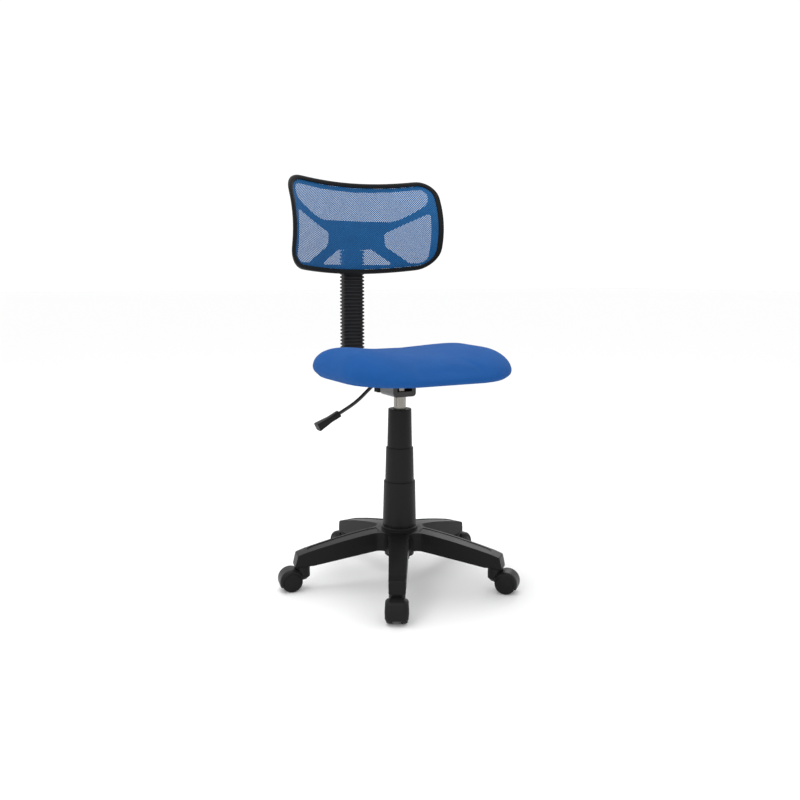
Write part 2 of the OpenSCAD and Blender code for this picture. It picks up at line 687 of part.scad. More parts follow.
module seat_nuts() color("#9a9da1") at_bolts() difference() {
    union() {
        translate([0, 0, board_z + board_t]) cylinder(d = 18, h = nut_flange);
        translate([0, 0, board_z + 1]) cylinder(d = bolt_d + 2.6, h = board_t);
    }
    translate([0, 0, board_z]) cylinder(d = bolt_d + 0.2, h = board_t + 3);
}

// ---- Back bar and bellows ----

bar_bend_r = 36;
carrier_bottom_z = back_bottom_z + 59;
bar_top_z = carrier_bottom_z + back_travel + 4;
carrier_h = 64;
bellows_bottom_z = 504;
bellows_top_z = carrier_bottom_z - 1;

// Side view of the bar as [y, z]: flat under the seat, one bend, then upright
function bar_profile() =
    let (y = upright_y, t = bar_t, r = bar_bend_r)
    concat([[bar_end_y, bar_z + t], [bar_end_y, bar_z]],
           arc(y + t / 2 - r - t, bar_z + r + t, r + t, -90, 0, 10),
           [[y + t / 2, bar_top_z], [y - t / 2, bar_top_z]],
           arc(y - t / 2 - r, bar_z + t + r, r, 0, -90, 10));

module back_bar() color("#2a2a2b") translate([-bar_w / 2, 0, 0]) rotate([90, 0, 90])
    linear_extrude(height = bar_w) polygon(bar_profile());

// Corrugated sleeve: rings alternate between the ribs' tips and roots
rib_depth = 3.2;
bellows_w = bar_w + 2 * bellows_side_room;
bellows_depth = bar_t + 2 * bellows_back_room;
ribs = round((bellows_top_z - bellows_bottom_z) / rib_pitch);
function sleeve_ring(z, inset) =
    [for (p = round_rect(-bellows_w / 2 + inset, -bellows_depth / 2 + inset,
                         bellows_w / 2 - inset, bellows_depth / 2 - inset, 6, 3))
        [p.x, upright_y + p.y, z]];
bellows_wall = 1.5;
module bellows() color("#1b1b1d") loft(concat(
    [for (k = [0:2 * ribs]) sleeve_ring(
        bellows_bottom_z + (bellows_top_z - bellows_bottom_z) * k / (2 * ribs),
        k % 2 == 0 ? rib_depth : 0)],
    [sleeve_ring(bellows_top_z, rib_depth + bellows_wall),
     sleeve_ring(bellows_bottom_z, rib_depth + bellows_wall)]), closed = true);

// ---- Knobs ----

// Fluted clamping knob with its screw, along +Z from its outer face
module clamp_knob(d, h, reach) {
    difference() {
        cylinder(d = d, h = h);
        for (k = [0:5]) rotate([0, 0, 60 * k]) translate([d / 2 + 5, 0, -1])
            cylinder(r = 8, h = h + 2);
    }
    cylinder(d = screw_d, h = h + reach);
}

depth_knob_d = 38;
depth_knob_h = 15;
module depth_knob() color("#141415")
    translate([0, depth_knob_y, bracket_floor_z - 1 - depth_knob_h])
        clamp_knob(depth_knob_d, depth_knob_h, steel_t + 1 + pass_gap / 2);

carrier_front = 7;
carrier_back = 11;
height_knob_h = 20;
knob_z = carrier_bottom_z + 30;
module height_knob() color("#141415")
    translate([0, upright_y + bar_t / 2 + carrier_back + 1 + height_knob_h, knob_z])
        rotate([90, 0, 0])
            clamp_knob(42, height_knob_h, carrier_back + 1 - pass_gap / 2);

// ---- Back ----

back_mid_z = back_bottom_z + back_h / 2;
half_w = back_w / 2;
half_h = back_h / 2;
bow_ref = half_w - back_corner / 2;

// Depth of the mesh behind the column at [x, z]
function waist(z) = 1 - pow((z - back_mid_z) / half_h, 2);
function mesh_y(x, z) = back_y - lumbar * waist(z)
    - (side_bow + waist_bow * waist(z)) * pow(x / (half_w + 8), 2);

corner_steps = 8;
// Outline of the back, inset by d, as [x, z]; the long edges sag in their middles.
function line_of(a, b, n) = [for (i = [0:n - 1]) a + (b - a) * i / n];
function back_outline(d = 0) =
    let (a = half_w - d, b = half_h - d, r = max(4, back_corner - d), k = corner_steps,
         c = [a - r, b - r])
    [for (p = concat(
        line_of([a, -c.y], [a, c.y], 10), arc(c.x, c.y, r, 0, 90 - 90 / k, k - 1),
        line_of([c.x, b], [-c.x, b], 16), arc(-c.x, c.y, r, 90, 180 - 90 / k, k - 1),
        line_of([-a, c.y], [-a, -c.y], 10), arc(-c.x, -c.y, r, 180, 270 - 90 / k, k - 1),
        line_of([-c.x, -b], [c.x, -b], 16), arc(c.x, -c.y, r, 270, 360 - 90 / k, k - 1)))
        [p.x, back_mid_z + p.y + edge_bow * pow(p.x / bow_ref, 2)]];

// The bead ring: a section of [inset, depth from the mesh] swept round the outline
bead_section = [[0, 1], [1.5, -3], [4.5, -4.5], [bead_w - 1.5, -3.5], [bead_w, -0.5],
                [bead_w, 8], [bead_w - 3, 10], [3, 10], [0, 6]];
module back_frame() color("#18181a") {
    loops = [for (s = bead_section)
        [for (p = back_outline(s.x)) [p.x, mesh_y(p.x, p.y) + s.y, p.y]]];
    loft(loops, closed = true);
}

// The mesh: a thin closed sheet, from the middle out to inside the bead
mesh_t = 0.8;
mesh_shares = [0.04, 0.25, 0.5, 0.7, 0.86, 1];
function mesh_ring(f, t) = [for (p = back_outline(bead_w + seat_gap))
    let (x = p.x * f, z = back_mid_z + (p.y - back_mid_z) * f) [x, mesh_y(x, z) + t, z]];
module back_mesh() color("#3f74b5") loft(concat(
    [for (f = mesh_shares) mesh_ring(f, 0)],
    [for (i = [len(mesh_shares) - 1:-1:0]) mesh_ring(mesh_shares[i], mesh_t)]));

// Depth of the spider's front: behind the mesh at the rim, further back in the middle
spider_back = 24;
spider_t = 5;
mesh_gap = 0.7;
function spider_y(x, z) = mesh_y(x, z) + mesh_t + mesh_gap
    + spider_back * max(0, waist(z)) * (1 - pow(x / half_w, 2));

// Openings of the spider as [x, z], right half; heights are from the back's middle
hub_half = 78;
rim = bead_w + 10;
function lift_z(pts) = [for (p = pts) [p.x, back_mid_z + p.y]];
top_opening = [[half_w - rim, half_h - 8], [half_w - rim, half_h - 44], [136, 38],
               [100, 19], [-100, 19], [-136, 38], [-half_w + rim, half_h - 44],
               [-half_w + rim, half_h - 8], [-90, half_h - rim + 4], [0, half_h - rim],
               [90, half_h - rim + 4]];
side_opening = [[half_w - rim, 42], [half_w - rim, -half_h + rim + 8],
                [136, -half_h + rim + 5], [hub_half - 2, -40], [hub_half - 4, -10]];
low_opening = [[44, -48], [100, -half_h + rim + 1], [-100, -half_h + rim + 1], [-44, -48]];
function mirrored(pts) = [for (i = [len(pts) - 1:-1:0]) [-pts[i].x, pts[i].y]];

module spider_plan() difference() {
    polygon(back_outline(bead_w + 3 * seat_gap));
    polygon(rounded(lift_z(top_opening), [24, 30, 60, 90, 90, 60, 30, 24, 200, 200, 200]));
    for (pts = [side_opening, mirrored(side_opening)])
        polygon(rounded(lift_z(pts), pts == side_opening ? [6, 34, 10, 20, 8] : [8, 20, 10, 34, 6]));
    polygon(rounded(lift_z(low_opening), 4));
}

module spider_shell() {
    nx = 20;
    nz = 10;
    x1 = half_w + 4;
    z0 = back_bottom_z - 6;
    z1 = back_bottom_z + back_h + 24;
    function rows(t) = [for (j = [0:nz]) [for (i = [0:nx])
        let (x = -x1 + 2 * x1 * i / nx, z = z0 + (z1 - z0) * j / nz) [x, spider_y(x, z) + t, z]]];
    slab(rows(0), rows(spider_t));
}

screw_head_d = 9;
boss_back_y = upright_y - bar_t / 2 - carrier_front;
module screw_places() for (x = [-23, 23], z = [12, carrier_h - 12])
    translate([x, 0, carrier_bottom_z + z]) rotate([-90, 0, 0]) children();
module back_spider() color("#1e1f22") difference() {
    union() {
        intersection() {
            along_y(0, 2 * upright_y) spider_plan();
            spider_shell();
        }
        translate([-30, spider_y(0, back_mid_z) + 1, carrier_bottom_z])
            cube([60, boss_back_y - spider_y(0, back_mid_z) - 1, carrier_h]);
    }
    screw_places() cylinder(d = 5.4, h = far);
    screw_places() cylinder(d = screw_head_d + 2 * pass_gap, h = spider_y(0, back_mid_z));
}

module back_carrier() color("#19191b") difference() {
    translate([-32, boss_back_y, carrier_bottom_z])
        cube([64, upright_y + bar_t / 2 + carrier_back - boss_back_y, carrier_h]);
    translate([-bar_w / 2 - pass_gap, upright_y - bar_t / 2 - pass_gap, 0])
        cube([bar_w + 2 * pass_gap, bar_t + 2 * pass_gap, far * 2]);
    translate([0, upright_y, knob_z]) rotate([-90, 0, 0])
        cylinder(d = screw_d + 2 * run_gap, h = 40);
    screw_places() translate([0, 0, boss_back_y - 1]) cylinder(d = 5.2, h = 9);
}

module back_screws() color("#8d9094") screw_places() {
    translate([0, 0, spider_y(0, back_mid_z) - 3]) cylinder(d = screw_head_d, h = 3);
    translate([0, 0, spider_y(0, back_mid_z) - 1]) cylinder(d = 5, h = boss_back_y
        - spider_y(0, back_mid_z) + 8);
}

// ---- Nodes ----

star_base();
caster_stems();
gas_tube();
guide_bush();
thrust_bearing();
cover_lower();
cover_middle();
gas_rod();
rod_clip();
gas_cylinder();
release_button();
cover_upper();
mechanism_housing();
seat_plate();
bar_bracket();
lever_rod();
lever_pin();
lever_grip();
seat_bolts();
seat_nuts();
seat_board();
seat_lining();
seat_cushion();
back_bar();
depth_knob();
bellows();
back_carrier();
height_knob();
back_screws();
back_spider();
back_frame();
back_mesh();
for (i = [1:5]) {
    caster_hood(i - 1);
    caster_axle(i - 1);
    caster_wheel(i - 1, -1);
    caster_wheel(i - 1, 1);
}
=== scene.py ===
# %% [markdown]
# # A swivel office chair
# The metal and plastic parts of this chair arrive as a finished frame: every leg, wheel,
# bolt and bracket has its true shape and place. What is left for Blender is what a drawing
# of solids can't show: the foam and cloth of the seat, the woven mesh of the back, the
# rubber sleeve, and the finish of each surface.

# %% Load the frame
import math

import bpy
from mathutils import Euler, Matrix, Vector


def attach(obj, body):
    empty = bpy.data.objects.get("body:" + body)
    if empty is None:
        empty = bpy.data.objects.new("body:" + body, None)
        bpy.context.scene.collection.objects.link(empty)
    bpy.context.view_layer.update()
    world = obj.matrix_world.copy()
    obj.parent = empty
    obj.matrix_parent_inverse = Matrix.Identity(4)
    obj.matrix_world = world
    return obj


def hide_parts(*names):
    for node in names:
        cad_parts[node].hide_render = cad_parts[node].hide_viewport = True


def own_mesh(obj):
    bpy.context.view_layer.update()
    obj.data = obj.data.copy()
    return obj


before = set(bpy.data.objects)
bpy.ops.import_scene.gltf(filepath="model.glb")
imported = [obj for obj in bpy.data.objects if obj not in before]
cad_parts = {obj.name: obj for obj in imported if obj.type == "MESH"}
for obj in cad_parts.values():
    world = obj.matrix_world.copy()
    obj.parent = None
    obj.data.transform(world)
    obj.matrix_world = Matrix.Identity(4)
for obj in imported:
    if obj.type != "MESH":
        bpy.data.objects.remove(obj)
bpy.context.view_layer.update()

# %% [markdown]
# ## The camera
# A camera is a place, a direction and a lens. This one stands about two metres away, to the
# left of the front and a little below eye height, and looks slightly down. An object could
# be aimed with a Track To constraint, but three plain angles are easier to keep.

# %% Camera
camera = bpy.data.objects.new("camera", bpy.data.cameras.new("camera"))
bpy.context.collection.objects.link(camera)
camera.location = (-0.9256, -1.6681, 0.7125)
look_down, lean, turn = 0.15, -0.004, math.radians(-29)
camera.rotation_euler = Euler((math.pi / 2 - look_down, lean, turn), "XYZ")
camera.data.sensor_width = 36
camera.data.lens = 38.08
bpy.context.scene.camera = camera
print("camera:", [round(c, 2) for c in camera.location], camera.data.lens, "mm lens")

# %% [markdown]
# ## Floor and light
# A studio packshot is lit by big soft sources: a white room does most of the work, one large
# panel overhead lightens every upper face, and two weak ones at the sides keep the black
# plastics from going flat. The Standard view transform keeps the blue of the cloth as it
# was mixed.

# %% Floor, room and lamps
scene = bpy.context.scene
scene.view_settings.view_transform = "Standard"

floor_size, floor_white, room_strength = 60, 0.93, 1.06
bpy.ops.mesh.primitive_plane_add(size=floor_size, location=(0, 0, 0))
floor = bpy.context.active_object
floor.name = "studio_floor"
floor_paint = bpy.data.materials.new("white_floor")
floor_paint.use_nodes = True
floor_shader = floor_paint.node_tree.nodes["Principled BSDF"]
floor_shader.inputs["Base Color"].default_value = (floor_white, floor_white, floor_white, 1)
floor_shader.inputs["Roughness"].default_value = 0.9
floor_shader.inputs["Specular IOR Level"].default_value = 0.1
floor.data.materials.append(floor_paint)

room = bpy.data.worlds.new("studio_room")
scene.world = room
room.use_nodes = True
room.node_tree.nodes["Background"].inputs["Color"].default_value = (1, 1, 1, 1)
room.node_tree.nodes["Background"].inputs["Strength"].default_value = room_strength


def softbox(name, stand, aim, size, watts):
    """A square area lamp at stand, turned to aim."""
    lamp = bpy.data.lights.new(name, "AREA")
    lamp.size, lamp.energy = size, watts
    box = bpy.data.objects.new(name, lamp)
    bpy.context.collection.objects.link(box)
    box.location = stand
    box.rotation_euler = (Vector(aim) - Vector(stand)).to_track_quat("-Z", "Y").to_euler()
    return box


softbox("top", (-0.5, 0.4, 2.6), (0, 0, 0.4), 1.8, 22)
softbox("front_left", (-2.2, -1.4, 1.7), (0, 0, 0.5), 1.0, 10)
softbox("rear_right", (1.9, 1.5, 1.6), (0, 0.1, 0.6), 1.0, 10)

# %% [markdown]
# ## Writing materials as sums
# A material is a graph of nodes, and drawing one in code takes many lines for little maths.
# A small wrapper round a socket lets the maths be written as Python: `1 - mask * 0.3` adds
# the Math nodes by itself. Every other node comes from one method, which sets the node's
# options first and its sockets after, because the options decide which sockets there are.


# %% A socket that can be added and multiplied
class Wire:
    """An output socket of a material's graph."""

    def __init__(self, tree, socket=None):
        self.tree, self.socket = tree, socket

    def node(self, kind, options=None, sockets=None, out=0):
        made = self.tree.nodes.new("ShaderNode" + kind)
        for option, value in (options or {}).items():
            setattr(made, option, value)
        for socket, value in (sockets or {}).items():
            if isinstance(value, Wire):
                self.tree.links.new(value.socket, made.inputs[socket])
            else:
                made.inputs[socket].default_value = value
        return Wire(self.tree, made.outputs[out])

    def maths(self, operation, *values):
        return self.node("Math", {"operation": operation}, dict(enumerate(values)))

    def __add__(self, other):
        return self.maths("ADD", self, other)

    def __sub__(self, other):
        return self.maths("SUBTRACT", self, other)

    def __rsub__(self, other):
        return self.maths("SUBTRACT", other, self)

    def __mul__(self, other):
        return self.maths("MULTIPLY", self, other)

    __radd__, __rmul__ = __add__, __mul__

    def sine(self):
        return self.maths("SINE", self)

    def cosine(self):
        return self.maths("COSINE", self)

    def axis(self, number):
        """One coordinate of a position: 0 across, 1 along, 2 up."""
        return self.node("SeparateXYZ", None, {0: self}, out=number)

    def ramp(self, low, high):
        """0 at low and 1 at high, smooth between."""
        return self.node("MapRange", {"interpolation_type": "SMOOTHSTEP"},
                         {"Value": self, "From Min": low, "From Max": high})

    def between(self, dark, light):
        """A colour mix, by this value."""
        return self.node("Mix", {"data_type": "RGBA"},
                         {0: self, 6: (*dark, 1), 7: (*light, 1)}, out=2)


print("Wire ready")

# %% [markdown]
# ## One way to start every finish
# All finishes share one skeleton: a Principled shader, a place on the object to read
# patterns from, and sockets that either stay constant or follow a pattern. Object
# coordinates are used instead of UVs, so a pattern has its real size in metres everywhere.


# %% Helpers for every finish
def clear_graph(name):
    """A new material with one Principled shader; gives the material and a Wire to draw with."""
    material = bpy.data.materials.new(name)
    material.use_nodes = True
    return material, Wire(material.node_tree)


def shader(material, values):
    """Sets or links the sockets of the material's Principled shader."""
    node = material.node_tree.nodes["Principled BSDF"]
    for socket, value in values.items():
        if isinstance(value, Wire):
            material.node_tree.links.new(value.socket, node.inputs[socket])
        else:
            node.inputs[socket].default_value = value
    return material


def place(wire):
    """Where a point lies on the object, in metres."""
    return wire.node("TexCoord", out="Object")


def noise(wire, size, detail=2.0, stretch=None):
    """Noise whose blotches are about size metres across, longer along stretch."""
    where = place(wire)
    if stretch:
        where = wire.node("Mapping", None, {"Vector": where, "Scale": stretch})
    return wire.node("TexNoise", None, {"Vector": where, "Scale": 1 / size, "Detail": detail})


def bumps(wire, height, depth):
    """A bumped normal from a height pattern, depth in metres."""
    return wire.node("Bump", None, {"Height": height, "Distance": depth, "Strength": 1.0})


def grey(level, tint=(1.0, 1.0, 1.0)):
    return tuple(level * t for t in tint)


print("helpers ready")

# %% [markdown]
# ## Moulded plastics
# Nylon bases, wheels, covers and knobs come out of etched steel moulds. The etch leaves a
# fine grain that breaks up the highlight, and the melt leaves faint cloudy changes in
# gloss. Handling polishes the edges a little. An image of a grain would need UVs on every
# part, so three sizes of noise do it instead: cloud, grain and a few dull rub marks.


# %% Moulded plastic
def moulded(name, level, tint=(1, 1, 1), gloss=0.42, grain=0.0006, depth=0.00006, scuff=0.05,
            shine=0.3):
    material, wire = clear_graph(name)
    cloud = noise(wire, 0.05)
    speck = noise(wire, grain, detail=3)
    rubs = noise(wire, 0.012, detail=6, stretch=(1, 1, 0.35)).ramp(0.6, 0.78)
    tone = cloud * 0.6 + speck * 0.4
    dark, light = grey(level * 0.82, tint), grey(level * 1.2, tint)
    return shader(material, {
        "Base Color": (tone + rubs * scuff).between(dark, light),
        "Roughness": cloud * 0.1 + speck * 0.12 + rubs * 0.1 + (gloss - 0.11),
        "Normal": bumps(wire, speck, depth),
        "Specular IOR Level": shine,
        "IOR": 1.3,
    })


base_nylon = moulded("base_nylon", 0.007, gloss=0.4, depth=0.00003)
hood_plastic = moulded("hood_plastic", 0.009, gloss=0.36, depth=0.00002)
wheel_plastic = moulded("wheel_plastic", 0.0075, gloss=0.42, depth=0.00002)
cover_plastic = moulded("cover_plastic", 0.0095, gloss=0.45, depth=0.00004)
knob_plastic = moulded("knob_plastic", 0.0075, gloss=0.5, depth=0.00008)
grip_plastic = moulded("grip_plastic", 0.011, gloss=0.46, grain=0.0008, depth=0.0001)
bush_plastic = moulded("bush_plastic", 0.62, (1, 0.97, 0.9), gloss=0.4)
print("plastics:", [m.name for m in bpy.data.materials if "plastic" in m.name])

# %% [markdown]
# ## The back's frame and its bead
# The spider behind the mesh is glass-filled nylon with a leathery mould etch, coarser than
# the base's. The bead that grips the mesh is a soft extruded profile, smoother and duller.

# %% Frame and bead plastics
spider_nylon = moulded("spider_nylon", 0.006, (0.95, 1, 1.1), gloss=0.5, grain=0.0011,
                       depth=0.00018)
bead_plastic = moulded("bead_plastic", 0.005, (0.9, 1, 1.15), gloss=0.5, grain=0.0005,
                       depth=0.00003)
print("back plastics:", spider_nylon.name, bead_plastic.name)

# %% [markdown]
# ## Metals
# Three kinds show. The gas cylinder is ground and polished steel, with fine streaks along
# its length. Fasteners and pins are zinc plated, grey and a little cloudy. The plate, the
# bar and the mechanism are folded steel under powder paint, whose skin has a fine orange
# peel. Streaks are noise stretched along one axis; peel is plain noise in the bump. The
# mechanism's box is grey at its sides; across its front end it carries painted shade, so
# its colour turns near black at one place along the chair.


# %% Bare and painted steel
def bare_steel(name, color, gloss, streak=(1, 1, 0.02), size=0.0012, contrast=0.15):
    material, wire = clear_graph(name)
    lines = noise(wire, size, detail=3, stretch=streak)
    film = noise(wire, 0.03, detail=4)
    return shader(material, {
        "Base Color": (film * 0.5 + lines * 0.5).between(
            tuple(c * (1 - contrast) for c in color),
            tuple(min(1, c * (1 + contrast)) for c in color)),
        "Metallic": 1.0,
        "Roughness": lines * 0.16 + film * 0.1 + (gloss - 0.13),
        "Normal": bumps(wire, lines, 0.00001),
    })


def painted_steel(name, level, tint=(1, 1, 1), gloss=0.42, peel=0.0018, painted_shade_from_y=None):
    material, wire = clear_graph(name)
    skin = noise(wire, peel, detail=2)
    cloud = noise(wire, 0.06, detail=3)
    dust = noise(wire, 0.0009, detail=5).ramp(0.62, 0.8)
    tone = cloud * 0.7 + dust * 0.3
    dark = level * 0.85
    # With a front-end position given, the colour ahead of it falls to near black: painted shade
    # standing in for the shade on the box's front end.
    if painted_shade_from_y is not None:
        tone = tone * place(wire).axis(1).ramp(painted_shade_from_y, painted_shade_from_y + 0.001)
        dark = 0.003
    return shader(material, {
        "Base Color": tone.between(grey(dark, tint), grey(level * 1.2, tint)),
        "Roughness": cloud * 0.12 + skin * 0.1 + (gloss - 0.1),
        "Coat Weight": 0.15,
        "Coat Roughness": 0.25,
        "Normal": bumps(wire, skin, 0.00006),
    })


bright_steel = bare_steel("bright_steel", (0.27, 0.26, 0.235), 0.24, size=0.005,
                          contrast=0.75)
zinc_steel = bare_steel("zinc_steel", (0.5, 0.52, 0.54), 0.36, streak=(1, 1, 1), size=0.004)
black_screws = bare_steel("black_screws", (0.03, 0.03, 0.033), 0.4, streak=(1, 1, 1), size=0.003)
brass = bare_steel("brass_button", (0.75, 0.55, 0.25), 0.3, streak=(1, 1, 1), size=0.002)
black_paint = painted_steel("black_paint", 0.014, gloss=0.4)
bar_paint = painted_steel("bar_paint", 0.018, gloss=0.46)
# The housing's front end gets painted shade: near black ahead of the given position.
housing_paint = painted_steel("housing_paint", 0.15, (0.95, 1, 1.06), gloss=0.4,
                              painted_shade_from_y=-0.0215)
print("metals:", bright_steel.name, zinc_steel.name, brass.name, black_paint.name)

# %% [markdown]
# ## Plywood and lining
# The seat board is birch plywood, and its cut edge shows the plies as thin bands. The
# underside is closed with a black non-woven fabric, a felt of crossed fibres. Bands come
# from the height, grain from stretched noise, and fibres from two noises crossed.

# %% Plywood and non-woven lining
plywood, wire = clear_graph("birch_plywood")
two_plies = 0.0028
plies = (place(wire).axis(2) * (math.tau / two_plies)).sine() * 0.5 + 0.5
grain = noise(wire, 0.004, detail=6, stretch=(1, 0.06, 1))
shader(plywood, {
    "Base Color": (plies * 0.45 + grain * 0.55).between((0.30, 0.19, 0.09), (0.66, 0.48, 0.29)),
    "Roughness": grain * 0.3 + 0.45,
    "Normal": bumps(wire, grain, 0.0002),
})

lining_felt, wire = clear_graph("lining_felt")
fibres = (noise(wire, 0.002, detail=4, stretch=(1, 0.15, 1))
          + noise(wire, 0.002, detail=4, stretch=(0.15, 1, 1))) * 0.5
shader(lining_felt, {
    "Base Color": fibres.between(grey(0.006), grey(0.035)),
    "Roughness": fibres * 0.1 + 0.82,
    "Normal": bumps(wire, fibres, 0.0002),
})
print("board and lining ready")

# %% [markdown]
# ## Which finish goes on which part
# The frame's parts are grouped into material slots already, so one table from part name to
# finish dresses them all. Only a part's slots change here; its mesh stays as it came.

# %% Dress the frame's parts
finishes = {
    "star_base": base_nylon, "caster_stems": zinc_steel, "gas_tube": black_paint,
    "guide_bush": bush_plastic, "thrust_bearing": zinc_steel, "cover_lower": cover_plastic,
    "cover_middle": cover_plastic, "cover_upper": cover_plastic, "gas_rod": bright_steel,
    "rod_clip": zinc_steel, "gas_cylinder": bright_steel, "release_button": brass,
    "mechanism_housing": housing_paint, "seat_plate": black_paint, "bar_bracket": black_paint,
    "lever_rod": black_paint, "lever_pin": zinc_steel, "lever_grip": grip_plastic,
    "seat_bolts": zinc_steel, "seat_nuts": zinc_steel, "seat_board": plywood,
    "seat_lining": lining_felt, "back_bar": bar_paint, "depth_knob": knob_plastic,
    "back_carrier": knob_plastic, "height_knob": knob_plastic, "back_screws": black_screws,
    "back_spider": spider_nylon, "back_frame": bead_plastic,
}
for i in range(1, 6):
    finishes[f"caster_hood_{i}"] = hood_plastic
    finishes[f"caster_axle_{i}"] = zinc_steel
    finishes[f"wheel_left_{i}"] = finishes[f"wheel_right_{i}"] = wheel_plastic

for part, finish in finishes.items():
    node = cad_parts[part]
    node.data.materials.clear()
    node.data.materials.append(finish)
print("dressed", len(finishes), "parts")

# %% [markdown]
# ## Rounded edges
# No moulded or folded part has a knife edge: each corner carries a radius of half a
# millimetre or more, and that is what catches the light. Drawing them all would make the
# frame heavy, so a Bevel modifier rounds every edge sharper than 35 degrees. A Weld comes
# first, because the frame's faces arrive unjoined and a bevel needs shared edges.


# %% Round the sharp edges
def join_faces(part):
    """Welds the part's separate faces into one skin."""
    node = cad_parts[part]
    weld = node.modifiers.new("join_faces", "WELD")
    weld.merge_threshold = 0.00001
    return node


def round_edges(part, radius, rings=2):
    node = join_faces(part)
    bevel = node.modifiers.new("edge_radius", "BEVEL")
    bevel.width, bevel.segments = radius, rings
    bevel.limit_method, bevel.angle_limit = "ANGLE", math.radians(35)
    bevel.harden_normals = True
    bevel.use_clamp_overlap = True
    return node


for part in ("mechanism_housing", "bar_bracket", "seat_plate", "back_carrier", "back_bar"):
    round_edges(part, 0.0006)
for part in ("depth_knob", "height_knob"):
    round_edges(part, 0.0012, 3)
for part in ("cover_lower", "cover_middle", "cover_upper"):
    round_edges(part, 0.0005, 2)
round_edges("lever_grip", 0.0016, 3)
print("rounded:", [o.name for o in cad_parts.values() if "edge_radius" in o.modifiers])

# %% [markdown]
# ## The seat cushion
# The seat is moulded foam under stretched knit. It is low along the middle and rises at
# both sides, the front rolls down, and the cloth is pulled tight round the rim and stapled
# under the board. It could be sculpted by hand. Here its shape is one height formula over
# a rounded outline, and a short cloth simulation under light pressure then lets the skin
# settle between the rim and the crown as real cloth does.

# %% Cushion shape
seat_half_x, seat_half_y, seat_mid_y = 0.202, 0.1885, -0.0435
rear_corner, front_corner = 0.140, 0.118
seat_bottom_z, rim_top_z = 0.483, 0.536
bolster, bolster_fade, rear_dip, front_drop = 0.037, 0.55, 0.002, 0.014
hem_z = seat_bottom_z - 0.001
board_share, hem_share, pocket_z, side_lift = 0.874, 0.915, 0.498, 0.010


def seat_outline(steps=20):
    """Points round the seat's plan, anticlockwise."""
    points = []
    for cx, cy, start in ((1, 1, 0), (-1, 1, 90), (-1, -1, 180), (1, -1, 270)):
        r = rear_corner if cy > 0 else front_corner
        for k in range(steps + 1):
            a = math.radians(start + 90 * k / steps)
            points.append((cx * (seat_half_x - r) + r * math.cos(a),
                           cy * (seat_half_y - r) + r * math.sin(a)))
    return points


def foam_top(x, y):
    u, v = x / seat_half_x, (y - seat_mid_y) / seat_half_y
    return (rim_top_z + bolster * u * u * (1 - bolster_fade * v * v) - rear_dip * max(0, v)
            - front_drop * max(0, -v) ** 2)


def lofted(name, rings, closed=False, caps=(True, True)):
    """A mesh skinned over rings of equal length."""
    count = len(rings[0])
    points = [p for ring in rings for p in ring]
    faces = []
    for r in range(len(rings) if closed else len(rings) - 1):
        a, b = r * count, (r + 1) % len(rings) * count
        faces += [(a + k, a + (k + 1) % count, b + (k + 1) % count, b + k)
                  for k in range(count)]
    for capped, ring, flip in zip(caps, (0, len(rings) - 1), (True, False)):
        if capped:
            middle = len(points)
            points.append(tuple(sum(c) / count for c in zip(*rings[ring])))
            for k in range(count):
                a, b = ring * count + k, ring * count + (k + 1) % count
                faces.append((middle, b, a) if flip else (middle, a, b))
    mesh = bpy.data.meshes.new(name)
    mesh.from_pydata(points, [], faces)
    mesh.validate()
    obj = bpy.data.objects.new(name, mesh)
    bpy.context.collection.objects.link(obj)
    for polygon in mesh.polygons:
        polygon.use_smooth = True
    return obj


outline = seat_outline()
# Each row: share of the height from the bottom edge to the top, share of the outline
rim_rows = [(0.0, 0.95), (0.04, 0.975), (0.1, 0.99), (0.19, 0.999), (0.27, 0.994),
            (0.35, 0.98), (0.44, 0.962), (0.52, 0.938), (0.61, 0.906), (0.69, 0.868),
            (0.76, 0.825), (0.825, 0.775), (0.885, 0.71), (0.93, 0.64), (0.962, 0.56),
            (0.98, 0.48), (0.992, 0.38), (0.998, 0.26), (1.0, 0.13), (1.0, 0.04)]


def cushion_ring(high, share):
    ring = []
    for x, y in outline:
        px, py = x * share, seat_mid_y + y * share
        low = seat_bottom_z + side_lift * (px / seat_half_x) ** 2
        ring.append((px, py, low + high * (foam_top(px, py) - low)))
    return ring


def level_ring(share, z):
    return [(x * share, seat_mid_y + y * share, z) for x, y in outline]


pocket = [level_ring(0.05, pocket_z), level_ring(board_share, pocket_z),
          level_ring(board_share, hem_z), level_ring(hem_share, hem_z)]
cushion = lofted("seat_pad", pocket + [cushion_ring(high, share) for high, share in rim_rows])
print("cushion:", len(cushion.data.vertices), "points,",
      [round(d, 3) for d in cushion.dimensions])

# %% [markdown]
# ### Letting the cloth settle
# The pad is remeshed into even squares of five millimetres, then swollen by the Cloth
# simulation with a little pressure and no gravity. Each point may move only a few
# millimetres, so the seat keeps its place in the frame, and the pocket for the board
# doesn't move at all. The result is applied, a Smooth modifier takes out the last waves,
# and one subdivision rounds it.


# %% Settle the cushion's cover
def apply_modifiers(obj):
    """Turns an object's modifiers into its mesh."""
    graph = bpy.context.evaluated_depsgraph_get()
    done = bpy.data.meshes.new_from_object(obj.evaluated_get(graph))
    obj.modifiers.clear()
    obj.data = done
    return obj


def smoothed(obj):
    for polygon in obj.data.polygons:
        polygon.use_smooth = True


